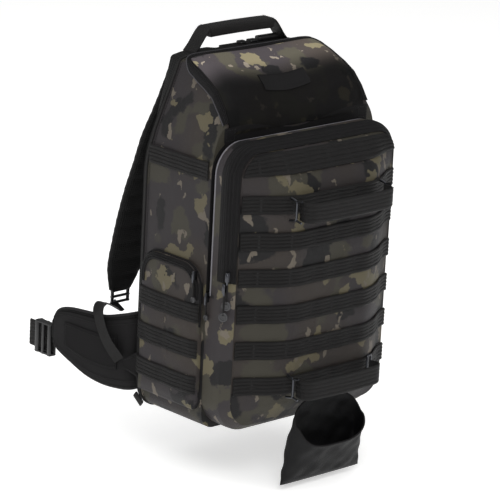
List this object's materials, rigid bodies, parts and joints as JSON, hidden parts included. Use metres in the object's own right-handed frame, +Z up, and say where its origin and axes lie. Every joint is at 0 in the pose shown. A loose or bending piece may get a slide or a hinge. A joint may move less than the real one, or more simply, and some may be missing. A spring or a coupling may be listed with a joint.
{
  "type": "camera backpack",
  "caption": "Padded camera backpack in dark camouflage with a sloped zipped top hatch, a domed front panel under webbing rows, side pockets, shoulder straps and a hip belt.",
  "frame": {"origin": "the middle of the grab handle's underside, where the backpack hangs", "axes": "+Z up, -Y out of the front panel, +X to the right when facing the front"},
  "size_m": [0.36, 0.4524, 0.59],
  "materials": {
    "camouflage cloth": "coated woven cloth, satin, dark camouflage print",
    "black cloth": "matte woven nylon",
    "black webbing": "ribbed nylon webbing",
    "black mesh": "padded air mesh",
    "grey piping": "light reflective piping",
    "black plastic": "moulded, satin",
    "dark metal": "gunmetal plating"
  },
  "bodies": {
    "root": {"main_shell": "camouflage cloth", "top_hatch": "camouflage cloth", "hatch_zip": "black cloth", "hatch_tab_left": "black webbing", "hatch_tab_right": "black webbing", "label_patch": "black cloth", "back_panel": "black mesh", "front_gusset": "camouflage cloth", "front_zip": "black cloth", "main_zip": "black cloth", "front_piping": "grey piping", "front_panel": "camouflage cloth", "front_row_1": "black webbing", "front_row_2": "black webbing", "front_row_3": "black webbing", "front_row_4": "black webbing", "front_row_5": "black webbing", "front_row_6": "black webbing", "front_row_7": "black webbing", "side_pocket_left": "camouflage cloth", "side_pocket_right": "camouflage cloth", "side_pocket_zip_left": "black cloth", "side_pocket_zip_right": "black cloth", "side_row_left_1": "black webbing", "side_row_left_2": "black webbing", "side_row_left_3": "black webbing", "side_row_left_upper": "black webbing", "side_row_right_1": "black webbing", "side_row_right_2": "black webbing", "side_row_right_3": "black webbing", "side_row_right_upper": "black webbing", "grab_handle": "black webbing", "rear_zip_garage": "black plastic", "shoulder_strap_left": "black mesh", "shoulder_strap_right": "black mesh", "ladder_lock_left": "black plastic", "ladder_lock_right": "black plastic", "strap_webbing_left": "black webbing", "strap_webbing_right": "black webbing", "strap_anchor_left": "black cloth", "strap_anchor_right": "black cloth", "belt_wing_left": "black mesh", "belt_wing_right": "black mesh", "belt_buckle_left": "black plastic", "belt_buckle_right": "black plastic", "belt_webbing_left": "black webbing", "belt_webbing_right": "black webbing", "front_strap_upper": "black webbing", "front_strap_lower": "black webbing", "upper_hook_left": "dark metal", "upper_hook_right": "dark metal", "lower_hook_left": "dark metal", "lower_loop_right": "dark metal", "leg_pocket": "black cloth", "front_zip_pull_upper": "dark metal", "front_zip_pull_lower": "dark metal", "main_zip_pull_left": "dark metal", "main_zip_pull_right": "dark metal", "side_zip_pull_left": "dark metal", "side_zip_pull_right": "dark metal"}
  },
  "joints": []
}
